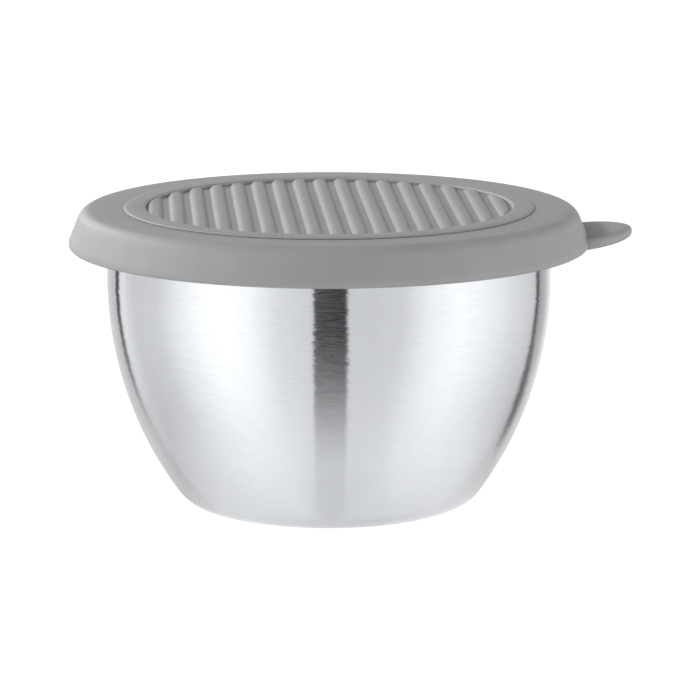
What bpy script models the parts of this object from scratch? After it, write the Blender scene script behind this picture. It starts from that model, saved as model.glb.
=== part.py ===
"""Condiment container: a deep-drawn steel cup and a moulded silicone lid with a pull tab.

Metres, +Z up. The origin is the centre of the cup's flat base, +X points to the pull tab, and
the grip ribs on top of the lid run along Y.
"""

import math

import bmesh
import bpy
from mathutils import Vector

MM = 0.001

# Steel cup, drawn from one sheet, with its edge rolled outwards
CUP_RADIUS = 34.15 * MM  # outside of the upright wall
CUP_HEIGHT = 43.7 * MM  # base to the top of the rolled rim
CUP_SHEET = 0.5 * MM
UPRIGHT_HEIGHT = 8.4 * MM  # top of the rim down to where the wall starts to curve in
BASE_RADIUS = 18.8 * MM  # flat that the cup stands on
BASE_CORNER_RADIUS = 6.0 * MM
RIM_RADIUS = 1.6 * MM  # outside of the rolled edge
RIM_TURN = math.radians(290)  # how far round the edge is rolled

# Gap between pieces that touch on the real container
SEAT_CLEARANCE = 0.3 * MM

# Silicone lid: a border over the rim, a skirt outside it and a plug ring inside it
LID_WALL = 2.1 * MM  # above the rim
SKIRT_WALL = 0.85 * MM  # at the shoulder
SKIRT_FLARE = 2.0 * MM  # how far the skirt's foot stands out past the shoulder
SKIRT_DEPTH = 5.85 * MM  # top of the border to the skirt's foot
FOOT_BAND = 0.9 * MM  # upright band round the foot
FOOT_ROUNDING = 0.35 * MM
LEAD_IN = 0.5 * MM  # chamfer inside the foot, which guides the skirt over the rim
SHOULDER_RADIUS = 2.2 * MM
PLUG_WALL = 1.6 * MM
PLUG_DEPTH = 4.0 * MM
PLUG_ROUNDING = 0.5 * MM

# Raised disc on the lid, with a sunk panel of straight ribs
BORDER_WIDTH = 6.5 * MM  # shoulder to the disc's edge
DISC_STEP = 0.4 * MM
DISC_ROUNDING = 0.3 * MM
RING_WIDTH = 3.4 * MM  # disc's edge to the panel
PANEL_DEPTH = 0.6 * MM
RIB_WIDTH = 2.1 * MM
RIB_GAP = 1.23 * MM
RIB_ROUNDING = 0.3 * MM
RIB_DROP = 0.2 * MM  # from the disc's top down to the ribs' tops
RIB_BED = 0.4 * MM  # how far a rib is sunk into the lid

# Pull tab, which bends along a line just outside the skirt
TAB_REACH = 6.9 * MM  # skirt's foot to the tab's tip
TAB_HALF_WIDTH = 8.5 * MM
TAB_SET_IN = 1.0 * MM  # full width lies this far inside the foot's circle
TAB_BED = 0.8 * MM  # further run of the root into the skirt
TAB_SHAPE = 1.7  # exponent of the outline: 2 is an ellipse, less is more pointed
TAB_THICKNESS = 1.8 * MM
TAB_ROUNDING = 0.75 * MM
TAB_RISE = math.radians(7)  # slope of the tab, up towards its tip
FLEX_OUT = 1.3 * MM  # skirt's foot to the line that the tab bends on
FLEX_LIFT = 0.3 * MM  # underside of the tab above the skirt's foot, at that line

# Facets
ROUND_STEPS = 60
SIDE_STEPS = 6
CORNER_STEPS = 4
RIM_STEPS = 10
GROOVE_STEPS = 6
FILLET_STEPS = 2
SHOULDER_STEPS = 4
RIB_FILLET_STEPS = 3
TAB_STEPS = 24
TAB_BEVEL_STEPS = 3
MERGE_DISTANCE = 0.001 * MM
SHARP_ANGLE = math.radians(30)  # edges that turn further than this look sharp

# Places that follow from the sizes above; the lid's heights are from its seat over the rim
RIM_CENTRE_RADIUS = CUP_RADIUS - CUP_SHEET + RIM_RADIUS
RIM_CENTRE_HEIGHT = CUP_HEIGHT - RIM_RADIUS
LID_SEAT = CUP_HEIGHT + SEAT_CLEARANCE
GROOVE_RADIUS = RIM_RADIUS + SEAT_CLEARANCE
GROOVE_CENTRE = -GROOVE_RADIUS
SHOULDER_EDGE = RIM_CENTRE_RADIUS + GROOVE_RADIUS + SKIRT_WALL
LID_RADIUS = SHOULDER_EDGE + SKIRT_FLARE
FOOT = LID_WALL - SKIRT_DEPTH
DISC_RADIUS = SHOULDER_EDGE - BORDER_WIDTH
DISC_TOP = LID_WALL + DISC_STEP
PANEL_RADIUS = DISC_RADIUS - RING_WIDTH
PANEL_FLOOR = DISC_TOP - PANEL_DEPTH
RIB_TOP = DISC_TOP - RIB_DROP
FLEX_LINE = Vector((LID_RADIUS + FLEX_OUT, 0, FOOT + FLEX_LIFT + TAB_THICKNESS / 2))


def arc(centre, radius, start, end, steps):
    """Points (x, z) on an arc, with both of its ends."""
    angles = [start + (end - start) * k / steps for k in range(steps + 1)]
    return [(centre[0] + radius * math.cos(a), centre[1] + radius * math.sin(a)) for a in angles]


def fillet(before, corner, after, radius, steps):
    """Points on the arc that rounds a corner between two straight lines."""
    corner = Vector(corner)
    back = (Vector(before) - corner).normalized()
    ahead = (Vector(after) - corner).normalized()
    half_angle = back.angle(ahead) / 2
    centre = corner + (back + ahead).normalized() * (radius / math.sin(half_angle))
    run = radius / math.tan(half_angle)
    first = corner + back * run - centre
    last = corner + ahead * run - centre
    start = math.atan2(first.y, first.x)
    turn = math.remainder(math.atan2(last.y, last.x) - start, 2 * math.pi)
    return arc(centre, radius, start, start + turn, steps)


def material(name, colour, metallic, roughness):
    made = bpy.data.materials.new(name)
    made.use_nodes = True
    shader = made.node_tree.nodes["Principled BSDF"]
    shader.inputs["Base Color"].default_value = (*colour, 1)
    shader.inputs["Metallic"].default_value = metallic
    shader.inputs["Roughness"].default_value = roughness
    return made


def add_object(name, mesh, parent=None, location=(0, 0, 0)):
    made = bpy.data.objects.new(name, mesh)
    bpy.context.scene.collection.objects.link(made)
    made.parent = parent
    made.location = location
    return made


def hide_as_tool(tool):
    """A cutter or a shape that is joined to another piece, and no piece by itself."""
    tool.hide_render = True
    tool.display_type = "WIRE"
    return tool


def combine(target, tool, operation):
    boolean = target.modifiers.new(operation.title() + " " + tool.name, "BOOLEAN")
    boolean.operation = operation
    boolean.object = tool
    boolean.solver = "EXACT"


def lathe(name, outline, parent=None, location=(0, 0, 0)):
    """The outline (x, z) turned round the Z axis."""
    mesh = bpy.data.meshes.new(name)
    edges = [(i, i + 1) for i in range(len(outline) - 1)]
    mesh.from_pydata([(x, 0, z) for x, z in outline], edges, [])
    turned = add_object(name, mesh, parent, location)
    screw = turned.modifiers.new("Turn", "SCREW")
    screw.steps = ROUND_STEPS
    screw.render_steps = ROUND_STEPS
    screw.use_merge_vertices = True
    screw.merge_threshold = MERGE_DISTANCE
    return turned


def prism(name, outlines, run, parent=None, location=(0, 0, 0)):
    """A bar for each outline of 3-D points, run straight along a vector."""
    bm = bmesh.new()
    faces = [bm.faces.new([bm.verts.new(point) for point in outline]) for outline in outlines]
    grown = bmesh.ops.extrude_face_region(bm, geom=faces)
    far = [item for item in grown["geom"] if isinstance(item, bmesh.types.BMVert)]
    bmesh.ops.translate(bm, verts=far, vec=run)
    bmesh.ops.recalc_face_normals(bm, faces=bm.faces)
    mesh = bpy.data.meshes.new(name)
    bm.to_mesh(mesh)
    bm.free()
    mesh.shade_smooth()
    mesh.set_sharp_from_angle(angle=SHARP_ANGLE)
    return add_object(name, mesh, parent, location)


def cup_outside():
    """Section of the sheet's outer face, from the rolled edge down the wall to the base's centre."""
    roll = RIM_RADIUS - CUP_SHEET
    curve_start = CUP_HEIGHT - UPRIGHT_HEIGHT
    inset = CUP_RADIUS - BASE_RADIUS
    drop = curve_start - BASE_CORNER_RADIUS
    # the arc that meets the upright wall and the base's corner without a kink
    side_radius = (inset**2 + drop**2 - BASE_CORNER_RADIUS**2) / (2 * (inset - BASE_CORNER_RADIUS))
    side_centre = (CUP_RADIUS - side_radius, curve_start)
    corner_centre = (BASE_RADIUS, BASE_CORNER_RADIUS)
    meet = math.atan2(corner_centre[1] - side_centre[1], corner_centre[0] - side_centre[0])
    rim_centre = (RIM_CENTRE_RADIUS, RIM_CENTRE_HEIGHT)
    outline = arc(rim_centre, roll, math.pi - RIM_TURN, math.pi, RIM_STEPS)
    outline += arc(side_centre, side_radius, 0, meet, SIDE_STEPS)
    outline += arc(corner_centre, BASE_CORNER_RADIUS, meet, -math.pi / 2, CORNER_STEPS)[1:]
    return outline + [(0, 0)]


def make_cup():
    cup = lathe("steel_cup", cup_outside())
    sheet = cup.modifiers.new("Sheet", "SOLIDIFY")
    sheet.thickness = CUP_SHEET
    sheet.offset = -1
    sheet.use_even_offset = True
    return cup


def lid_section():
    """Section of the lid from the panel's centre, out over the skirt and back under the plug ring."""
    panel_foot = (PANEL_RADIUS, PANEL_FLOOR)
    ring_inside = (PANEL_RADIUS, DISC_TOP)
    ring_outside = (DISC_RADIUS, DISC_TOP)
    step_foot = (DISC_RADIUS, LID_WALL)
    shoulder = (SHOULDER_EDGE, LID_WALL)
    band_top = (LID_RADIUS, FOOT + FOOT_BAND)
    foot_edge = (LID_RADIUS, FOOT)
    skirt_inside = RIM_CENTRE_RADIUS + GROOVE_RADIUS
    lead_edge = (skirt_inside + LEAD_IN, FOOT)
    plug_outside = RIM_CENTRE_RADIUS - GROOVE_RADIUS
    plug_edge = (plug_outside, -PLUG_DEPTH)
    plug_inner_edge = (plug_outside - PLUG_WALL, -PLUG_DEPTH)
    plug_root = (plug_outside - PLUG_WALL, 0)
    groove_end = (plug_outside, GROOVE_CENTRE)
    centre = (0, 0)

    outline = [(0, PANEL_FLOOR), panel_foot]
    outline += fillet(panel_foot, ring_inside, ring_outside, DISC_ROUNDING, FILLET_STEPS)
    outline += fillet(ring_inside, ring_outside, step_foot, DISC_ROUNDING, FILLET_STEPS)
    outline += [step_foot]
    outline += fillet(step_foot, shoulder, band_top, SHOULDER_RADIUS, SHOULDER_STEPS)
    outline += [band_top]
    outline += fillet(band_top, foot_edge, lead_edge, FOOT_ROUNDING, FILLET_STEPS)
    outline += [lead_edge, (skirt_inside, FOOT + LEAD_IN)]
    # the groove is an arch about the same centre as the rolled rim
    outline += arc((RIM_CENTRE_RADIUS, GROOVE_CENTRE), GROOVE_RADIUS, 0, math.pi, GROOVE_STEPS)
    outline += fillet(groove_end, plug_edge, plug_inner_edge, PLUG_ROUNDING, FILLET_STEPS)
    outline += fillet(plug_edge, plug_inner_edge, plug_root, PLUG_ROUNDING, FILLET_STEPS)
    outline += fillet(plug_inner_edge, plug_root, centre, PLUG_ROUNDING, FILLET_STEPS)
    return outline + [centre]


def rib_outline(middle, start):
    """Section of one rib across its length, with rounded top edges, as 3-D points."""
    left = middle - RIB_WIDTH / 2
    right = middle + RIB_WIDTH / 2
    bottom = PANEL_FLOOR - RIB_BED
    section = [(left, bottom)]
    section += fillet((left, bottom), (left, RIB_TOP), (right, RIB_TOP), RIB_ROUNDING, RIB_FILLET_STEPS)
    section += fillet((left, RIB_TOP), (right, RIB_TOP), (right, bottom), RIB_ROUNDING, RIB_FILLET_STEPS)
    section += [(right, bottom)]
    return [(x, start, z) for x, z in section]


def add_ribs(lid):
    """Straight ribs side by side across the panel, whose ends run into the ring round it."""
    reach = PANEL_RADIUS + RIB_BED
    bound_outline = [(0, DISC_TOP), (reach, DISC_TOP), (reach, 0), (0, 0)]
    bound = hide_as_tool(lathe("panel_bound", bound_outline, lid))
    pitch = RIB_WIDTH + RIB_GAP
    ribs_each_side = int((PANEL_RADIUS - RIB_WIDTH / 2) / pitch)
    middles = [number * pitch for number in range(-ribs_each_side, ribs_each_side + 1)]
    outlines = [rib_outline(middle, -reach) for middle in middles]
    ribs = hide_as_tool(prism("panel_ribs", outlines, (0, 2 * reach, 0), lid))
    combine(ribs, bound, "INTERSECT")
    combine(lid, ribs, "UNION")


def tab_outline():
    """The whole tab in plan about the line that it bends on, at its underside."""
    full_width = -FLEX_OUT - TAB_SET_IN
    reach = TAB_REACH - FLEX_OUT - full_width
    root = full_width - TAB_BED
    power = 2 / TAB_SHAPE
    outline = [(root, -TAB_HALF_WIDTH)]
    for k in range(TAB_STEPS + 1):
        angle = math.pi * (k / TAB_STEPS - 0.5)
        across = math.copysign(abs(math.sin(angle)) ** power, angle)
        along = abs(math.cos(angle)) ** power
        outline.append((full_width + reach * along, TAB_HALF_WIDTH * across))
    outline.append((root, TAB_HALF_WIDTH))
    return [(x, y, -TAB_THICKNESS / 2) for x, y in outline]


def tab_blank(name, lid):
    """The tab with rounded edges, from its root in the skirt to its tip."""
    blank = prism(name, [tab_outline()], (0, 0, TAB_THICKNESS), lid, FLEX_LINE)
    blank.rotation_euler.y = -TAB_RISE
    bevel = blank.modifiers.new("Rounded edge", "BEVEL")
    bevel.width = TAB_ROUNDING
    bevel.segments = TAB_BEVEL_STEPS
    bevel.limit_method = "ANGLE"
    return blank


def outer_side(name, knuckle_radius, lid):
    """All that lies past the bending line, with a half-round bulge of the given radius towards the lid."""
    far = 2 * TAB_REACH
    half_height = 2 * TAB_THICKNESS
    profile = arc((0, 0), knuckle_radius, -math.pi / 2, -3 * math.pi / 2, CORNER_STEPS * 2)
    profile += [(0, half_height), (far, half_height), (far, -half_height), (0, -half_height)]
    half_width = 2 * TAB_HALF_WIDTH
    outline = [(x, -half_width, z) for x, z in profile]
    region = prism(name, [outline], (0, 2 * half_width, 0), lid, FLEX_LINE)
    region.rotation_euler.y = -TAB_RISE
    return hide_as_tool(region)


def make_lid():
    lid = lathe("silicone_lid", lid_section(), location=(0, 0, LID_SEAT))
    add_ribs(lid)
    stub = hide_as_tool(tab_blank("tab_stub", lid))
    combine(stub, outer_side("tab_seat", TAB_THICKNESS / 2 + SEAT_CLEARANCE, lid), "DIFFERENCE")
    combine(lid, stub, "UNION")
    return lid


def make_tab(lid):
    tab = tab_blank("pull_tab", lid)
    combine(tab, outer_side("tab_half", TAB_THICKNESS / 2, lid), "INTERSECT")
    return tab


def main():
    for old in list(bpy.data.objects):
        bpy.data.objects.remove(old)
    steel = material("brushed_steel", (0.62, 0.62, 0.64), 1, 0.3)
    silicone = material("grey_silicone", (0.33, 0.33, 0.33), 0, 0.6)
    cup = make_cup()
    lid = make_lid()
    tab = make_tab(lid)
    cup.data.materials.append(steel)
    lid.data.materials.append(silicone)
    tab.data.materials.append(silicone)


main()
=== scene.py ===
"""Looks of the condiment container: a brushed steel cup, its ribbed silicone lid and the pull tab.

Metres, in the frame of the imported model: +Z up, the origin at the centre of the cup's base, +X
towards the pull tab, the lid's ribs along Y. The main sizes are those of the CAD model. The lid's
roundings, the form of its ribs, the panel's depth and the edges of the disc and the tab are worked
finer here.
"""

import math

import bpy
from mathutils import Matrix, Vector

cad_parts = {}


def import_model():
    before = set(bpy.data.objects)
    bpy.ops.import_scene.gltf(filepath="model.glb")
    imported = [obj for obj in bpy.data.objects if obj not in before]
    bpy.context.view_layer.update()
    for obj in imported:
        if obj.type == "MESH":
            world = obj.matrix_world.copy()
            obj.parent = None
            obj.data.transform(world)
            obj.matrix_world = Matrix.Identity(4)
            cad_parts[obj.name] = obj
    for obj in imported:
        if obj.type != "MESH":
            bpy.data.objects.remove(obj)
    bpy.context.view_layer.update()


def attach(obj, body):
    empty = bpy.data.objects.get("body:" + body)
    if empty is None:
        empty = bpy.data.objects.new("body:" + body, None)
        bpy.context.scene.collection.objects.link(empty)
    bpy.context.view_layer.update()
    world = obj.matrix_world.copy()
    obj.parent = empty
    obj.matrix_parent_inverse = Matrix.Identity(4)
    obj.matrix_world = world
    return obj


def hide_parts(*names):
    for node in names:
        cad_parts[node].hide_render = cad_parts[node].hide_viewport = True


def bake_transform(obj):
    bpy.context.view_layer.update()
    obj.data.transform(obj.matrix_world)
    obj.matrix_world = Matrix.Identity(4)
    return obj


MM = 0.001

# Steel cup
CUP_RADIUS = 34.15 * MM
CUP_HEIGHT = 43.7 * MM
CUP_SHEET = 0.5 * MM
UPRIGHT_HEIGHT = 8.4 * MM  # from the top down to where the side starts to curve in
BASE_RADIUS = 18.8 * MM
BASE_CORNER_RADIUS = 6.0 * MM
RIM_RADIUS = 1.6 * MM
RIM_TURN = math.radians(290)  # how far the edge is rolled

# Silicone lid
SEAT_CLEARANCE = 0.3 * MM
LID_WALL = 2.1 * MM
SKIRT_WALL = 0.85 * MM
SKIRT_FLARE = 2.0 * MM  # how far the skirt spreads down to its foot
SKIRT_DEPTH = 5.85 * MM
FOOT_BAND = 0.9 * MM  # upright band at the skirt's foot
FOOT_ROUNDING = 0.5 * MM
BAND_ROUNDING = 2.0 * MM
LEAD_IN = 0.5 * MM  # bevel inside the skirt's foot
SHOULDER_RADIUS = 2.2 * MM
PLUG_WALL = 1.6 * MM
PLUG_DEPTH = 4.0 * MM
PLUG_ROUNDING = 0.5 * MM
BORDER_WIDTH = 6.5 * MM
DISC_STEP = 0.4 * MM
DISC_EDGE_RUN = 0.7 * MM  # of the disc's rounded edge, inwards
UNDERCUT_HEIGHT = 0.11 * MM  # below the disc's rounded edge
UNDERCUT_DEPTH = 0.15 * MM
RING_CROWN = 0.04 * MM  # how far the ring's top falls to its edges
RING_WIDTH = 3.4 * MM
RING_ROUNDING = 0.45 * MM

# Ribs of the lid's panel
PANEL_DEPTH = 0.66 * MM
RIB_WIDTH = 2.1 * MM
RIB_GAP = 1.23 * MM
RIB_SPREAD = 0.1 * MM  # how far each side of a rib spreads at its foot
RIB_DROP = 0.14 * MM  # from the disc's top to the ribs' tops
RIB_SHAPE = 2.4  # power of the curve over a rib, from its edge to its middle
RIB_FOOT = 0.08 * MM  # half of the run in which a rib's side leaves the panel's floor
RIB_CORNER = 0.6 * MM  # plan rounding of a rib's ends
RIB_END = 0.4 * MM  # how far a rib's end lies inside the wall of the ring

# Pull tab
TAB_REACH = 6.9 * MM
TAB_HALF_WIDTH = 8.5 * MM
TAB_SET_IN = 1.0 * MM  # inside the lid's edge, where the tab has its full width
TAB_BED = 0.8 * MM  # how far it runs on from there into the skirt
TAB_SHAPE = 1.7  # power of its outline: 2 is an ellipse, 1 is straight
TAB_THICKNESS = 1.8 * MM
TAB_ROUNDING = 0.86 * MM  # height of its rounded edges, above and below
TAB_TOP_RUN = 1.1 * MM  # their run into its top and into its underside
TAB_BOTTOM_RUN = 0.86 * MM
TAB_RISE = math.radians(7)
TAB_FILLET = 0.12 * MM  # where its top runs into the skirt
TAB_ABOVE_FOOT = 0.03 * MM
FLEX_OUT = 1.3 * MM  # bending line, outside the skirt
FLEX_LIFT = 0.3 * MM  # height of the tab's underside there, over the skirt's foot

# Places that follow from the sizes
LID_SEAT = CUP_HEIGHT + SEAT_CLEARANCE
RIM_CENTRE_RADIUS = CUP_RADIUS - CUP_SHEET + RIM_RADIUS
RIM_CENTRE_HEIGHT = CUP_HEIGHT - RIM_RADIUS
GROOVE_RADIUS = RIM_RADIUS + SEAT_CLEARANCE
SHOULDER_EDGE = RIM_CENTRE_RADIUS + GROOVE_RADIUS + SKIRT_WALL
LID_RADIUS = SHOULDER_EDGE + SKIRT_FLARE
BORDER_TOP = LID_SEAT + LID_WALL
FOOT = BORDER_TOP - SKIRT_DEPTH
BAND_TOP = FOOT + FOOT_BAND
DISC_RADIUS = SHOULDER_EDGE - BORDER_WIDTH
DISC_TOP = BORDER_TOP + DISC_STEP
PANEL_RADIUS = DISC_RADIUS - RING_WIDTH
PANEL_FLOOR = DISC_TOP - PANEL_DEPTH
RIB_HEIGHT = PANEL_DEPTH - RIB_DROP
RIB_HALF = RIB_WIDTH / 2 + RIB_SPREAD
RIB_PITCH = RIB_WIDTH + RIB_GAP
RIBS_EACH_SIDE = int((PANEL_RADIUS - RIB_WIDTH / 2) / RIB_PITCH)
FLEX_RADIUS = LID_RADIUS + FLEX_OUT
FLEX_HEIGHT = FOOT + FLEX_LIFT + TAB_THICKNESS / 2

# Meshes
CUP_SEGMENTS = 240
RIM_STEPS = 24
SIDE_STEPS = 40
CORNER_STEPS = 16
BASE_RINGS = [14.0 * MM, 9.0 * MM, 4.0 * MM]
FILLET_STEPS = 5
SHOULDER_STEPS = 10
BAND_STEPS = 4
GROOVE_STEPS = 16
RING_SHARES = [0.22, 0.36, 0.5, 0.64, 0.74]  # of the ring's width, from its inside
BORDER_SHARES = [0.02, 0.2, 0.45]  # of the border's width, from the disc
UNDERSIDE_RINGS = [24.0 * MM, 16.0 * MM, 8.0 * MM]
RIB_COLUMNS = [0, 0.2, 0.36, 0.5, 0.62, 0.73, 0.83, 0.92]  # shares of the way to a rib's foot
RIB_FOOT_STEPS = 2
PANEL_MIDDLE_ROWS = 8
# distances of the panel's rows from its edge, where a column is long enough
PANEL_END_ROWS = [d * MM for d in (0, 0.07, 0.14, 0.22, 0.31, 0.42, 0.55, 0.7, 0.9, 1.2, 1.8, 3.0)]
FULL_COLUMN = 6.0 * MM  # half of the shortest column that is long enough
CRESCENT_STEP = math.radians(1.5)  # of the columns beside the outermost ribs
PLACE_DIGITS = 9  # columns are rounded to this, so that equal ones fall together
TAB_SIDE_ROWS = 26
TAB_CROSS_COLUMNS = 24
TAB_EDGE_STEPS = 6
STAGE_SEGMENTS = 96
SHARP_ANGLE = math.radians(40)

# Steel: roughness, strength of the brushed highlight, depth of the brush lines
BRUSHED = (0.116, 1.0, 0.008 * MM)
SATIN = (0.3, 0.6, 0.003 * MM)
STEEL_COLOURS = [(0.634, 0.648, 0.67, 1), (0.648, 0.662, 0.684, 1)]
STEEL_METALLIC = (1.0, 0.91)  # plain and in a scratch
ROUGHNESS_SPREAD = 0.01
ACROSS_THE_LINES = 0.25  # a quarter turn from the tangent
# brush lines: how often they change round the cup, about how many there are in a metre, detail
FINE_LINES = (40.0, 5200, 2.0)
BROAD_LINES = (4.0, 2600, 3.0)
LEANING_LINES = (15.0, 4000, 1.0)
NODDING_LINES = (9.0, 2600, 1.0)
SCRATCHES = (16.0, 3600, 1.0)
BROAD_SHARE = 0.2  # of the broad lines among the lines
LINE_SPAN = (0.35, 0.65)  # levels of the lines from the first colour to the second
LINE_LEAN = 0.015  # the most that a line turns the steel's face sideways
LINE_NOD = 0.07  # and up or down
AXIS_RADIUS = 0.01 * MM  # the least radius that the lines are worked out for
NOISE_SPAN = (0.3, 0.7)  # most of a noise's values lie here

# Silicone
SILICONE_LEVELS = (0.325, 0.345)
SILICONE_ROUGHNESS = (0.5, 0.6)
SILICONE_IOR = 1.42
CLOUD = (180, 3.0)  # noise: scale and detail
GRAIN = (5200, 2.0, 0.6)  # noise: scale, detail and roughness
GRAIN_STRENGTH = 0.25
GRAIN_DEPTH = 0.012 * MM

# Camera, fitted to the photograph
CAMERA_TURN = math.radians(3.03)
CAMERA_ELEVATION = math.radians(10.98)
CAMERA_DISTANCE = 639.8 * MM
CAMERA_TARGET = 22.0 * MM  # on the cup's axis, over the base
CAMERA_RIGHT = 3.24 * MM  # how far it aims to the right of the target, and above it
CAMERA_UP = 1.69 * MM
SENSOR = 36.0  # in millimetres, as the lens
LENS = 212.55

# Light tent as metal shows it: degrees from the camera's side, positive to the right, and brightness
TENT = [
    (-180, 0.85), (-146.2, 0.68), (-145.2, 0.05), (-140.4, 0.05), (-139, 1.06), (-134, 1.1),
    (-129, 0.97), (-121, 0.87), (-99, 0.96), (-84, 1.3), (-71, 1.55), (-58, 1.68), (-41, 1.48),
    (-26, 1.09), (-8, 0.95), (10, 0.93), (22, 0.91), (38, 0.96), (54, 1.36), (72, 1.56), (93, 1.34),
    (110, 1.1), (130, 0.88), (135.2, 0.78), (136.6, 0.06), (139.6, 0.07), (142, 0.48), (154, 0.66),
    (162, 0.92), (180, 0.85),
]
TENT_SCALE = 2.0  # the ramps hold levels divided by this
TENT_FADE = 0.4  # what is left of it in metal, high up
TENT_FADE_HEIGHT = 0.4  # sine of the elevation where the fading ends
# A dark slot in the tent, on the camera's side: its edges and half of their blur, as the part of a
# direction that points to the right
SLOT_EDGES = (-0.1345, 0.162)
SLOT_BLUR = 0.005
SLOT_LEVELS = (0.09, 0.035)  # its brightness at both edges
SLOT_NARROWING = 0.61  # share of its width that is left straight below
SLOT_FADE = 0.45  # it fades where a smaller part of a direction points to the camera
# The tent's light on matt surfaces, from the horizon and from above
SOFT_LOW = 3.8
SOFT_HIGH = 0.36
SOFT_HEIGHT = 0.3  # sine of the elevation where the second starts
# Lamps: degrees from the camera's side and up, light on a white surface that faces it, size
KEY = (-102, 33, 0.48, 0.14)
RIM_LIGHT = (-143, 22, 0.31, 0.4)
FILL = (92, 12, 0.17, 0.5)
LAMP_DISTANCE = 0.9
# Floor: its colour, and for the camera alone its glow and the colour that keeps the shadow
FLOOR_SIZE = 3.0
FLOOR_COLOUR = 0.85
FLOOR_GLOW = 0.93
FLOOR_SHADE = 0.2
# Painted light: the stand glows with the lit floor's light, and the cup's shadow is painted on it
# The stand that metal shows: distance from its centre and how much it hides of the tent
STAND = [
    (0, 0.9), (45 * MM, 0.85), (55 * MM, 0.66), (65 * MM, 0.45), (75 * MM, 0.29), (90 * MM, 0.17),
    (110 * MM, 0.08), (140 * MM, 0.03), (180 * MM, 0),
]
STAND_BACK = 10 * MM  # how far its centre lies behind the cup
# its painted floor light: cosine of the angle about the cup from its front, and level
STAND_LEVELS = [
    (-1, 0.72), (0, 0.75), (0.34, 0.98), (0.57, 1.18), (0.77, 1.24), (0.94, 1.16), (0.97, 1.07),
    (1, 1.05),
]
STAND_TURN = math.radians(8)  # of its front, to the right of the camera's side
STAND_PAINTED_SHADOW = [(22 * MM, 0.86), (36 * MM, 1)]  # painted shadow of the cup, darker close to it
# A dark card, painted shade on the stand, to the right behind the cup: places along it and across
# it, and cover
CARD_ALONG = [(0, 0), (8 * MM, 0.6), (20 * MM, 1), (60 * MM, 1), (110 * MM, 0)]
CARD_ACROSS = [(-5 * MM, 0), (-1.5 * MM, 1), (1.5 * MM, 1), (12 * MM, 0)]
CARD_START = (35 * MM, 1 * MM)  # to the right of the cup's axis and behind it
CARD_TURN = math.radians(135.3)
CARD_NARROWING = (0.3, 35 * MM)  # its share of the width at the start, and where it is full
CARD_LEVEL = 0.16
CARD_LIFT = 0.2 * MM

# Level directions to the right in the camera's view and away from it
RIGHT = Vector((math.cos(CAMERA_TURN), -math.sin(CAMERA_TURN), 0))
AWAY = Vector((math.sin(CAMERA_TURN), math.cos(CAMERA_TURN), 0))
UP = Vector((0, 0, 1))


# Shapes


def arc(centre, radius, start, end, steps):
    """Points (r, z) on an arc, with both of its ends."""
    angles = [start + (end - start) * k / steps for k in range(steps + 1)]
    return [(centre[0] + radius * math.cos(a), centre[1] + radius * math.sin(a)) for a in angles]


def fillet(before, corner, after, radius, steps=FILLET_STEPS):
    """Points on the arc that rounds a corner between two straight lines."""
    corner = Vector(corner)
    back = (Vector(before) - corner).normalized()
    ahead = (Vector(after) - corner).normalized()
    half_angle = back.angle(ahead) / 2
    centre = corner + (back + ahead).normalized() * (radius / math.sin(half_angle))
    run = radius / math.tan(half_angle)
    first = corner + back * run - centre
    last = corner + ahead * run - centre
    start = math.atan2(first.y, first.x)
    turn = math.remainder(math.atan2(last.y, last.x) - start, 2 * math.pi)
    return arc(centre, radius, start, start + turn, steps)


def add_piece(name, points, faces, materials, face_materials=None):
    mesh = bpy.data.meshes.new(name)
    mesh.from_pydata(points, [], faces)
    for made in materials:
        mesh.materials.append(made)
    if face_materials:
        mesh.polygons.foreach_set("material_index", face_materials)
    mesh.validate()
    mesh.shade_smooth()
    mesh.set_sharp_from_angle(angle=SHARP_ANGLE)
    piece = bpy.data.objects.new(name, mesh)
    bpy.context.scene.collection.objects.link(piece)
    return piece


def add_ring(points, angles, radius, height):
    """Adds a ring of points about the axis, or one point on it, and returns their numbers."""
    turns = angles if radius else [0]
    numbers = list(range(len(points), len(points) + len(turns)))
    points += [(radius * math.cos(a), radius * math.sin(a), height) for a in turns]
    return numbers


def strip(first, second):
    """Quads between two closed rings of point numbers, or triangles where one is a single point."""
    if len(second) == 1:
        return [(a, b, second[0]) for a, b in zip(first, first[1:] + first[:1])]
    pairs = zip(second, second[1:] + second[:1])
    if len(first) == 1:
        return [(first[0], d, c) for c, d in pairs]
    return [(a, b, d, c) for (a, b), (c, d) in zip(zip(first, first[1:] + first[:1]), pairs)]


def cup_face(offset):
    """Section of the sheet's face at an inward offset, from the rolled edge to the axis."""
    curve_start = CUP_HEIGHT - UPRIGHT_HEIGHT
    inset = CUP_RADIUS - BASE_RADIUS
    drop = curve_start - BASE_CORNER_RADIUS
    side_radius = (inset**2 + drop**2 - BASE_CORNER_RADIUS**2) / (2 * (inset - BASE_CORNER_RADIUS))
    side_centre = (CUP_RADIUS - side_radius, curve_start)
    corner_centre = (BASE_RADIUS, BASE_CORNER_RADIUS)
    meet = math.atan2(corner_centre[1] - side_centre[1], corner_centre[0] - side_centre[0])
    rim_centre = (RIM_CENTRE_RADIUS, RIM_CENTRE_HEIGHT)
    rim_radius = RIM_RADIUS - CUP_SHEET + offset
    section = arc(rim_centre, rim_radius, math.pi - RIM_TURN, math.pi, RIM_STEPS)
    section += arc(side_centre, side_radius - offset, 0, meet, SIDE_STEPS)
    corner_radius = BASE_CORNER_RADIUS - offset
    section += arc(corner_centre, corner_radius, meet, -math.pi / 2, CORNER_STEPS)[1:]
    section += [(radius, offset) for radius in BASE_RINGS]
    return section + [(0, offset)]


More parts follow.
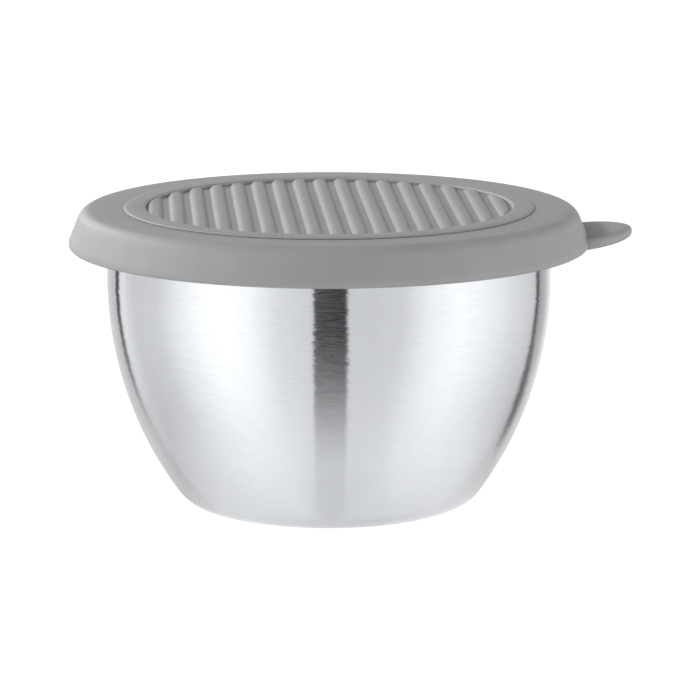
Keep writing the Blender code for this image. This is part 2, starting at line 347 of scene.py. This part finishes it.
def make_cup(outside, inside):
    outer = cup_face(0)
    angles = [2 * math.pi * k / CUP_SEGMENTS for k in range(CUP_SEGMENTS)]
    points = []
    rings = [add_ring(points, angles, *place) for place in outer[::-1] + cup_face(CUP_SHEET)]
    faces = []
    face_materials = []
    for number, (first, second) in enumerate(zip(rings, rings[1:])):
        band = strip(first, second)
        faces += band
        face_materials += [0 if number < len(outer) - 1 else 1] * len(band)
    return add_piece("cup_shell", points, faces, [outside, inside], face_materials)


def lid_section():
    """Section of the lid from the ring's inside, out over the skirt and back to the axis below."""
    ring_inside = (PANEL_RADIUS, DISC_TOP - RING_CROWN)
    ring_outside = (DISC_RADIUS, DISC_TOP - RING_CROWN)
    disc_edge = (DISC_RADIUS, BORDER_TOP + UNDERCUT_HEIGHT)
    step_foot = (DISC_RADIUS - UNDERCUT_DEPTH, BORDER_TOP)
    shoulder = (SHOULDER_EDGE, BORDER_TOP)
    band_top = (LID_RADIUS, BAND_TOP)
    foot_edge = (LID_RADIUS, FOOT)
    skirt_inside = RIM_CENTRE_RADIUS + GROOVE_RADIUS
    lead_edge = (skirt_inside + LEAD_IN, FOOT)
    plug_outside = RIM_CENTRE_RADIUS - GROOVE_RADIUS
    plug_inside = plug_outside - PLUG_WALL
    groove_centre = (RIM_CENTRE_RADIUS, LID_SEAT - GROOVE_RADIUS)
    groove_end = (plug_outside, groove_centre[1])
    plug_edge = (plug_outside, LID_SEAT - PLUG_DEPTH)
    plug_inner_edge = (plug_inside, LID_SEAT - PLUG_DEPTH)
    plug_root = (plug_inside, LID_SEAT)
    centre = (0, LID_SEAT)
    panel_foot = (PANEL_RADIUS, PANEL_FLOOR)

    section = fillet(panel_foot, ring_inside, ring_outside, RING_ROUNDING)
    for share in RING_SHARES:
        radius = PANEL_RADIUS + RING_WIDTH * share
        section.append((radius, DISC_TOP - RING_CROWN * (2 * share - 1) ** 2))
    edge_height = ring_outside[1] - disc_edge[1]
    for k in range(FILLET_STEPS + 1):
        turn = math.pi / 2 * k / FILLET_STEPS
        radius = DISC_RADIUS - DISC_EDGE_RUN * (1 - math.sin(turn))
        section.append((radius, disc_edge[1] + edge_height * math.cos(turn)))
    section.append(step_foot)
    section += [(DISC_RADIUS + share * BORDER_WIDTH, BORDER_TOP) for share in BORDER_SHARES]
    section += fillet(step_foot, shoulder, band_top, SHOULDER_RADIUS, SHOULDER_STEPS)
    section += fillet(shoulder, band_top, foot_edge, BAND_ROUNDING, BAND_STEPS)
    section += fillet(band_top, foot_edge, lead_edge, FOOT_ROUNDING)
    section += [lead_edge, (skirt_inside, FOOT + LEAD_IN)]
    section += arc(groove_centre, GROOVE_RADIUS, 0, math.pi, GROOVE_STEPS)
    section += fillet(groove_end, plug_edge, plug_inner_edge, PLUG_ROUNDING)
    section += fillet(plug_edge, plug_inner_edge, plug_root, PLUG_ROUNDING)
    section += fillet(plug_inner_edge, plug_root, centre, PLUG_ROUNDING)
    section += [(radius, LID_SEAT) for radius in UNDERSIDE_RINGS]
    return section + [centre]


def rib_inset(x, y):
    """How far a point lies inside the rounded plan of the nearest rib; negative is outside."""
    nearest = max(-RIBS_EACH_SIDE, min(RIBS_EACH_SIDE, round(x / RIB_PITCH)))
    side = RIB_HALF - abs(x - nearest * RIB_PITCH)
    end = PANEL_RADIUS - math.hypot(x, y) + RIB_END
    if side < RIB_CORNER and end < RIB_CORNER:
        return RIB_CORNER - math.hypot(RIB_CORNER - side, RIB_CORNER - end)
    return min(side, end)


def panel_height(x, y):
    inset = rib_inset(x, y)
    from_middle = 1 - min(max(inset, RIB_FOOT) / RIB_HALF, 1)
    height = RIB_HEIGHT * (1 - from_middle**RIB_SHAPE)
    up_the_foot = min(max(inset / RIB_FOOT + 1, 0), 2) / 2
    return PANEL_FLOOR + height * up_the_foot**2


def panel_columns():
    """Places of the mesh's columns across the ribs, close together on the ribs' edges."""
    places = [(RIB_HALF - RIB_FOOT) * share for share in RIB_COLUMNS]
    foot_steps = range(-RIB_FOOT_STEPS, RIB_FOOT_STEPS + 1)
    places += [RIB_HALF + RIB_FOOT * k / RIB_FOOT_STEPS for k in foot_steps]
    places.append(RIB_PITCH / 2)
    columns = set()
    for number in range(-RIBS_EACH_SIDE, RIBS_EACH_SIDE + 1):
        middle = number * RIB_PITCH
        for place in places:
            columns |= {round(middle - place, PLACE_DIGITS), round(middle + place, PLACE_DIGITS)}
    limit = RIBS_EACH_SIDE * RIB_PITCH + RIB_HALF + RIB_FOOT
    columns = [x for x in columns if abs(x) <= limit]
    angle = math.acos(limit / PANEL_RADIUS) - CRESCENT_STEP
    while angle > 0:
        columns += [PANEL_RADIUS * math.cos(angle), -PANEL_RADIUS * math.cos(angle)]
        angle -= CRESCENT_STEP
    return sorted(columns)


def column_rows(half_length):
    """Places along one column, from its near end to its far end."""
    shrink = min(1, half_length / FULL_COLUMN)
    ends = [half_length - distance * shrink for distance in PANEL_END_ROWS]
    steps = range(1, PANEL_MIDDLE_ROWS)
    middle = [ends[-1] * (2 * k / PANEL_MIDDLE_ROWS - 1) for k in steps]
    return [-y for y in ends] + middle + ends[::-1]


def make_lid(silicone):
    points = [(-PANEL_RADIUS, 0, PANEL_FLOOR)]
    grid = []
    for x in panel_columns():
        rows = column_rows(math.sqrt(PANEL_RADIUS**2 - x**2))
        grid.append(list(range(len(points), len(points) + len(rows))))
        points += [(x, y, panel_height(x, y)) for y in rows]
    left = 0
    right = len(points)
    points.append((PANEL_RADIUS, 0, PANEL_FLOOR))
    faces = []
    for first, second in zip(grid, grid[1:]):
        faces += zip(first, second, second[1:], first[1:])
    faces += [(left, a, b) for a, b in zip(grid[0], grid[0][1:])]
    faces += [(right, b, a) for a, b in zip(grid[-1], grid[-1][1:])]

    ring = [right] + [rows[-1] for rows in reversed(grid)] + [left] + [rows[0] for rows in grid]
    angles = [math.atan2(points[k][1], points[k][0]) for k in ring]
    for radius, height in lid_section():
        next_ring = add_ring(points, angles, radius, height)
        faces += [face[::-1] for face in strip(ring, next_ring)]
        ring = next_ring
    return add_piece("lid_moulding", points, faces, [silicone])


def tab_outline():
    """The tab's outline in plan about its bending line, from side to side."""
    full_width = -FLEX_OUT - TAB_SET_IN
    reach = TAB_REACH - FLEX_OUT - full_width
    power = 2 / TAB_SHAPE
    outline = [(full_width - TAB_BED, -TAB_HALF_WIDTH)]
    for k in range(2 * TAB_SIDE_ROWS + 1):
        angle = math.pi / 2 * (k / TAB_SIDE_ROWS - 1)
        across = math.copysign(abs(math.sin(angle)) ** power, angle)
        along = abs(math.cos(angle)) ** power
        outline.append((full_width + reach * along, TAB_HALF_WIDTH * across))
    outline.append((full_width - TAB_BED, TAB_HALF_WIDTH))
    return outline


def skirt_radius(height):
    return LID_RADIUS - SKIRT_FLARE * max(0, height - BAND_TOP) / (BORDER_TOP - BAND_TOP)


def tab_point(x, y, lift):
    """A point of the tab in the model's frame; lift is its height over the tab's middle plane."""
    across = FLEX_RADIUS + x * math.cos(TAB_RISE) - lift * math.sin(TAB_RISE)
    height = FLEX_HEIGHT + x * math.sin(TAB_RISE) + lift * math.cos(TAB_RISE)
    if lift > 0:
        out = math.hypot(across, y) - skirt_radius(height)
        short = min(max(TAB_FILLET - out, 0), TAB_FILLET)
        rise = TAB_FILLET - math.sqrt(TAB_FILLET**2 - short**2)
        height += rise * lift / (TAB_THICKNESS / 2)
    return (across, y, max(height, FOOT + TAB_ABOVE_FOOT))


def cap_tab(points, faces, ring, upwards):
    """Closes the tab with rows of quads from root to tip, and returns the row at the root."""
    last = len(ring) - 1
    rows = []
    for k in range(last // 2):
        start = points[ring[k]]
        end = points[ring[last - k]]
        row = [ring[k]]
        for step in range(1, TAB_CROSS_COLUMNS):
            share = step / TAB_CROSS_COLUMNS
            row.append(len(points))
            points.append(tuple(a + (b - a) * share for a, b in zip(start, end)))
        rows.append(row + [ring[last - k]])
    for near, far in zip(rows, rows[1:]):
        for a, b, c, d in zip(near, near[1:], far[1:], far):
            faces.append((a, b, c, d) if upwards else (d, c, b, a))
    tip = ring[last // 2]
    for a, b in zip(rows[-1], rows[-1][1:]):
        faces.append((a, b, tip) if upwards else (tip, b, a))
    return rows[0]


def make_tab(silicone):
    outline = tab_outline()
    root = outline[1][0]
    upper = []
    lower = []
    for k in range(TAB_EDGE_STEPS + 1):
        turn = math.pi / 2 * k / TAB_EDGE_STEPS
        inset = 1 - math.cos(turn)
        lift = TAB_THICKNESS / 2 - TAB_ROUNDING * (1 - math.sin(turn))
        upper.append((TAB_TOP_RUN * inset, lift))
        lower.append((TAB_BOTTOM_RUN * inset, -lift))
    points = []
    rings = []
    for inset, lift in upper[::-1] + lower:
        share = 1 - inset / TAB_HALF_WIDTH
        rings.append(list(range(len(points), len(points) + len(outline))))
        points += [tab_point(root + (x - root) * share, y * share, lift) for x, y in outline]
    faces = []
    for first, second in zip(rings, rings[1:]):
        faces += zip(first, second, second[1:], first[1:])
    top_root = cap_tab(points, faces, rings[0], True)
    bottom_root = cap_tab(points, faces, rings[-1], False)
    left_side = [ring[0] for ring in rings[1:-1]]
    right_side = [ring[-1] for ring in rings[1:-1]]
    faces.append(tuple(top_root[::-1] + left_side + bottom_root + right_side[::-1]))
    return add_piece("tab_moulding", points, faces, [silicone])


# Materials


def grey(level):
    return (level, level, level, 1)


class Nodes:
    """Short ways to add and join nodes of one material or world."""

    def __init__(self, owner):
        owner.use_nodes = True
        self.tree = owner.node_tree
        self.tree.nodes.clear()

    def add(self, kind, inputs=(), **settings):
        node = self.tree.nodes.new(kind)
        for name, value in settings.items():
            setattr(node, name, value)
        for name, value in dict(inputs).items():
            self.put(node.inputs[name], value)
        return node

    def put(self, socket, value):
        if isinstance(value, bpy.types.NodeSocket):
            self.tree.links.new(value, socket)
        else:
            socket.default_value = value

    def math(self, operation, first, second=0.0):
        return self.add("ShaderNodeMath", {0: first, 1: second}, operation=operation).outputs[0]

    def vector(self, operation, first, second=(0, 0, 0)):
        node = self.add("ShaderNodeVectorMath", {0: first, 1: second}, operation=operation)
        return node.outputs["Value" if operation in ("DOT_PRODUCT", "LENGTH") else "Vector"]

    def span(self, value, from_low, from_high, to_low, to_high):
        node = self.add("ShaderNodeMapRange", {
            "Value": value,
            "From Min": from_low,
            "From Max": from_high,
            "To Min": to_low,
            "To Max": to_high,
        })
        return node.outputs["Result"]

    def noise(self, vector, scale, detail, roughness=0.5):
        node = self.add("ShaderNodeTexNoise", {
            "Vector": vector,
            "Scale": scale,
            "Detail": detail,
            "Roughness": roughness,
        })
        return node.outputs["Fac"]

    def mix_colours(self, share, first, second):
        node = self.add("ShaderNodeMix", data_type="RGBA")
        sockets = {socket.identifier: socket for socket in node.inputs}
        self.put(sockets["Factor_Float"], share)
        self.put(sockets["A_Color"], first)
        self.put(sockets["B_Color"], second)
        return next(socket for socket in node.outputs if socket.identifier == "Result_Color")

    def mix_shaders(self, share, first, second):
        inputs = {0: share, 1: first.outputs[0], 2: second.outputs[0]}
        return self.add("ShaderNodeMixShader", inputs)

    def ramp(self, value, stops, scale=1.0):
        """A ramp through stops of place and level, with the levels divided by scale."""
        low, high = stops[0][0], stops[-1][0]
        node = self.add("ShaderNodeValToRGB", {0: self.span(value, low, high, 0, 1)})
        elements = node.color_ramp.elements
        while len(elements) < len(stops):
            elements.new(0.5)
        for element, (place, level) in zip(elements, stops):
            element.position = (place - low) / (high - low)
            element.color = grey(level / scale)
        return node.outputs[0]

    def as_grey(self, value):
        inputs = {"Red": value, "Green": value, "Blue": value}
        return self.add("ShaderNodeCombineColor", inputs).outputs[0]

    def end(self, shader):
        self.add("ShaderNodeOutputMaterial", {"Surface": shader.outputs[0]})

    def end_veiled(self, cover, shader):
        """Ends the material with a shader that hides what is behind it by its cover."""
        clear = self.add("ShaderNodeBsdfTransparent")
        self.end(self.mix_shaders(cover, clear, shader))


def brush_noise(nodes, round_the_cup, lines_per_metre, detail):
    """Noise drawn out into lines round the cup's axis."""
    place = nodes.add("ShaderNodeTexCoord").outputs["Object"]
    x, y, z = nodes.add("ShaderNodeSeparateXYZ", {0: place}).outputs
    squares = nodes.math("ADD", nodes.math("MULTIPLY", x, x), nodes.math("MULTIPLY", y, y))
    radius = nodes.math("MAXIMUM", nodes.math("SQRT", squares), AXIS_RADIUS)
    lines = nodes.add("ShaderNodeCombineXYZ", {
        0: nodes.math("MULTIPLY", nodes.math("DIVIDE", x, radius), round_the_cup),
        1: nodes.math("MULTIPLY", nodes.math("DIVIDE", y, radius), round_the_cup),
        2: nodes.math("MULTIPLY", nodes.math("ADD", z, radius), lines_per_metre),
    })
    return nodes.noise(lines.outputs[0], 1.0, detail)


def make_steel(name, roughness, anisotropy, line_depth):
    """Steel with fine brush lines round the cup's axis."""
    made = bpy.data.materials.new(name)
    nodes = Nodes(made)
    fine = nodes.math("MULTIPLY", brush_noise(nodes, *FINE_LINES), 1 - BROAD_SHARE)
    broad = brush_noise(nodes, *BROAD_LINES)
    lines = nodes.math("ADD", fine, nodes.math("MULTIPLY", broad, BROAD_SHARE))
    bump = nodes.add("ShaderNodeBump", {"Strength": 1.0, "Distance": line_depth, "Height": lines})

    tangent = nodes.add("ShaderNodeTangent", direction_type="RADIAL", axis="Z").outputs[0]
    lean = nodes.span(brush_noise(nodes, *LEANING_LINES), 0, 1, -LINE_LEAN, LINE_LEAN)
    leaning = nodes.add("ShaderNodeVectorMath", {0: tangent, "Scale": lean}, operation="SCALE")
    nod = nodes.span(brush_noise(nodes, *NODDING_LINES), 0, 1, -LINE_NOD, LINE_NOD)
    nodding = nodes.add("ShaderNodeCombineXYZ", {2: nod})
    turned = nodes.vector("ADD", leaning.outputs[0], nodding.outputs[0])
    normal = nodes.vector("NORMALIZE", nodes.vector("ADD", bump.outputs[0], turned))

    scratches = brush_noise(nodes, *SCRATCHES)
    roughnesses = (roughness - ROUGHNESS_SPREAD, roughness + ROUGHNESS_SPREAD)
    nodes.end(nodes.add("ShaderNodeBsdfPrincipled", {
        "Base Color": nodes.mix_colours(nodes.span(lines, *LINE_SPAN, 0, 1), *STEEL_COLOURS),
        "Metallic": nodes.span(scratches, *NOISE_SPAN, *STEEL_METALLIC),
        "Roughness": nodes.span(broad, *NOISE_SPAN, *roughnesses),
        "Anisotropic": anisotropy,
        "Anisotropic Rotation": ACROSS_THE_LINES,
        "Tangent": tangent,
        "Normal": normal,
    }))
    return made


def make_silicone():
    """Grey silicone, slightly cloudy, with a fine matt grain."""
    made = bpy.data.materials.new("silicone")
    nodes = Nodes(made)
    place = nodes.add("ShaderNodeTexCoord").outputs["Object"]
    cloud = nodes.span(nodes.noise(place, *CLOUD), *NOISE_SPAN, 0, 1)
    grain = nodes.noise(place, *GRAIN)
    bump = nodes.add("ShaderNodeBump", {
        "Strength": GRAIN_STRENGTH,
        "Distance": GRAIN_DEPTH,
        "Height": grain,
    })
    nodes.end(nodes.add("ShaderNodeBsdfPrincipled", {
        "Base Color": nodes.mix_colours(cloud, *[grey(level) for level in SILICONE_LEVELS]),
        "Roughness": nodes.span(grain, *NOISE_SPAN, *SILICONE_ROUGHNESS),
        "IOR": SILICONE_IOR,
        "Normal": bump.outputs[0],
    }))
    return made


# Camera, light and floor


def make_camera():
    data = bpy.data.cameras.new("camera")
    data.sensor_width = SENSOR
    data.lens = LENS
    made = bpy.data.objects.new("camera", data)
    bpy.context.scene.collection.objects.link(made)
    target = UP * CAMERA_TARGET
    back = UP * math.sin(CAMERA_ELEVATION) - AWAY * math.cos(CAMERA_ELEVATION)
    made.location = target + back * CAMERA_DISTANCE
    aim = target + RIGHT * CAMERA_RIGHT + UP * CAMERA_UP
    made.rotation_mode = "QUATERNION"
    made.rotation_quaternion = (aim - made.location).to_track_quat("-Z", "Y")
    bpy.context.scene.camera = made


def make_tent():
    """The world: white to the camera, a tent with a slot in metal, and soft light on the rest."""
    world = bpy.data.worlds.new("tent")
    bpy.context.scene.world = world
    nodes = Nodes(world)
    direction = nodes.add("ShaderNodeTexCoord").outputs["Generated"]
    to_right = nodes.vector("DOT_PRODUCT", direction, RIGHT)
    to_camera = nodes.vector("DOT_PRODUCT", direction, -AWAY)
    height = nodes.vector("DOT_PRODUCT", direction, UP)

    left, right = SLOT_EDGES
    across = nodes.math("DIVIDE", to_right, nodes.span(to_camera, 0, 1, SLOT_NARROWING, 1))
    past_left = nodes.span(across, left - SLOT_BLUR, left + SLOT_BLUR, 0, 1)
    in_slot = nodes.span(across, right - SLOT_BLUR, right + SLOT_BLUR, past_left, 0)
    in_slot = nodes.math("MULTIPLY", in_slot, nodes.span(to_camera, 0, SLOT_FADE, 0, 1))
    slot_levels = [level / TENT_SCALE for level in SLOT_LEVELS]
    dark = nodes.as_grey(nodes.span(across, left, right, *slot_levels))
    turn = nodes.math("DEGREES", nodes.math("ARCTAN2", to_right, to_camera))
    shown = nodes.mix_colours(in_slot, nodes.ramp(turn, TENT, TENT_SCALE), dark)
    fade = nodes.span(height, 0, TENT_FADE_HEIGHT, TENT_SCALE, TENT_SCALE * TENT_FADE)
    in_metal = nodes.add("ShaderNodeBackground", {"Color": shown, "Strength": fade})
    level = nodes.span(height, 0, SOFT_HEIGHT, SOFT_LOW, SOFT_HIGH)
    soft = nodes.add("ShaderNodeBackground", {"Color": nodes.as_grey(level)})
    white = nodes.add("ShaderNodeBackground", {"Color": grey(1)})

    path = nodes.add("ShaderNodeLightPath").outputs
    lit = nodes.mix_shaders(path["Is Glossy Ray"], soft, in_metal)
    seen = nodes.mix_shaders(path["Is Camera Ray"], lit, white)
    nodes.add("ShaderNodeOutputWorld", {"Surface": seen.outputs[0]})
    # Only the surfaces' own rays find the tent, so that metal and matt surfaces see it differently
    world.cycles.sampling_method = "NONE"


def make_lamp(name, turn, elevation, level, size):
    data = bpy.data.lights.new(name, "AREA")
    data.shape = "DISK"
    data.size = size
    data.energy = level * (math.pi * LAMP_DISTANCE) ** 2
    made = bpy.data.objects.new(name, data)
    bpy.context.scene.collection.objects.link(made)
    turn = math.radians(turn)
    elevation = math.radians(elevation)
    flat = RIGHT * math.sin(turn) - AWAY * math.cos(turn)
    direction = flat * math.cos(elevation) + UP * math.sin(elevation)
    made.location = UP * LID_SEAT + direction * LAMP_DISTANCE
    made.rotation_mode = "QUATERNION"
    made.rotation_quaternion = direction.to_track_quat("Z", "Y")
    return made


def stage_disc(name, radius, made):
    """A round plane on the ground, which isn't part of the object."""
    angles = [2 * math.pi * k / STAGE_SEGMENTS for k in range(STAGE_SEGMENTS)]
    points = []
    face = tuple(add_ring(points, angles, radius, 0))
    piece = add_piece(name, points, [face], [made])
    return piece


def only_in_metal(piece):
    piece.visible_camera = False
    piece.visible_diffuse = False
    piece.visible_shadow = False
    piece.visible_transmission = False


def make_floor():
    """A pale floor that keeps the object's shadow."""
    made = bpy.data.materials.new("pale_floor")
    nodes = Nodes(made)
    matt = nodes.add("ShaderNodeBsdfDiffuse", {"Color": grey(FLOOR_COLOUR)})
    shade = nodes.add("ShaderNodeBsdfDiffuse", {"Color": grey(FLOOR_SHADE)})
    glow = nodes.add("ShaderNodeEmission", {"Strength": FLOOR_GLOW})
    bright = nodes.add("ShaderNodeAddShader", {0: shade.outputs[0], 1: glow.outputs[0]})
    path = nodes.add("ShaderNodeLightPath").outputs
    nodes.end(nodes.mix_shaders(path["Is Camera Ray"], matt, bright))
    stage_disc("floor", FLOOR_SIZE, made).visible_glossy = False


def make_stand():
    """The stand that metal shows in the floor's place: a glowing disc with painted floor light and
    painted shadow.
    """
    made = bpy.data.materials.new("painted_floor_light")
    nodes = Nodes(made)
    place = nodes.add("ShaderNodeTexCoord").outputs["Object"]
    front = RIGHT * math.sin(STAND_TURN) - AWAY * math.cos(STAND_TURN)
    facing = nodes.vector("DOT_PRODUCT", nodes.vector("NORMALIZE", place), front)
    # painted light of the lit floor, by the angle about the cup
    level = nodes.math("MULTIPLY", nodes.ramp(facing, STAND_LEVELS, TENT_SCALE), TENT_SCALE)
    # painted shadow of the cup on the stand's glow
    shade = nodes.ramp(nodes.vector("LENGTH", place), STAND_PAINTED_SHADOW)
    shaded = nodes.as_grey(nodes.math("MULTIPLY", level, shade))
    glow = nodes.add("ShaderNodeEmission", {"Color": shaded})
    from_centre = nodes.vector("LENGTH", nodes.vector("SUBTRACT", place, AWAY * STAND_BACK))
    nodes.end_veiled(nodes.ramp(from_centre, STAND), glow)
    only_in_metal(stage_disc("stand", STAND[-1][0] + STAND_BACK, made))


def make_card():
    """The dark card that metal shows: painted shade on the stand."""
    made = bpy.data.materials.new("painted_shade_card")
    nodes = Nodes(made)
    place = nodes.add("ShaderNodeTexCoord").outputs["Object"]
    x, y, _ = nodes.add("ShaderNodeSeparateXYZ", {0: place}).outputs
    narrow, full_at = CARD_NARROWING
    width = nodes.span(x, 0, full_at, narrow, 1)
    across = nodes.ramp(nodes.math("DIVIDE", y, width), CARD_ACROSS)
    cover = nodes.math("MULTIPLY", nodes.ramp(x, CARD_ALONG), across)
    nodes.end_veiled(cover, nodes.add("ShaderNodeEmission", {"Strength": CARD_LEVEL}))
    length = CARD_ALONG[-1][0]
    near_side, far_side = CARD_ACROSS[0][0], CARD_ACROSS[-1][0]
    points = [(0, near_side, 0), (length, near_side, 0), (length, far_side, 0), (0, far_side, 0)]
    card = add_piece("card", points, [(0, 1, 2, 3)], [made])
    to_right, behind = CARD_START
    card.location = RIGHT * to_right + AWAY * behind + UP * CARD_LIFT
    card.rotation_euler.z = CARD_TURN - math.pi / 2 - CAMERA_TURN
    only_in_metal(card)


def main():
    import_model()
    bpy.context.scene.view_settings.view_transform = "Standard"
    make_camera()
    make_tent()
    make_lamp("key", *KEY)
    make_lamp("rim", *RIM_LIGHT)
    make_lamp("fill", *FILL).visible_glossy = False
    make_floor()
    make_stand()
    make_card()

    cup = make_cup(make_steel("steel_brushed", *BRUSHED), make_steel("steel_satin", *SATIN))
    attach(cup, "cup")
    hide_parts("steel_cup")

    silicone = make_silicone()
    lid = make_lid(silicone)
    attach(lid, "lid")
    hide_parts("silicone_lid")

    tab = make_tab(silicone)
    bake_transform(tab)
    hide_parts("pull_tab")


main()
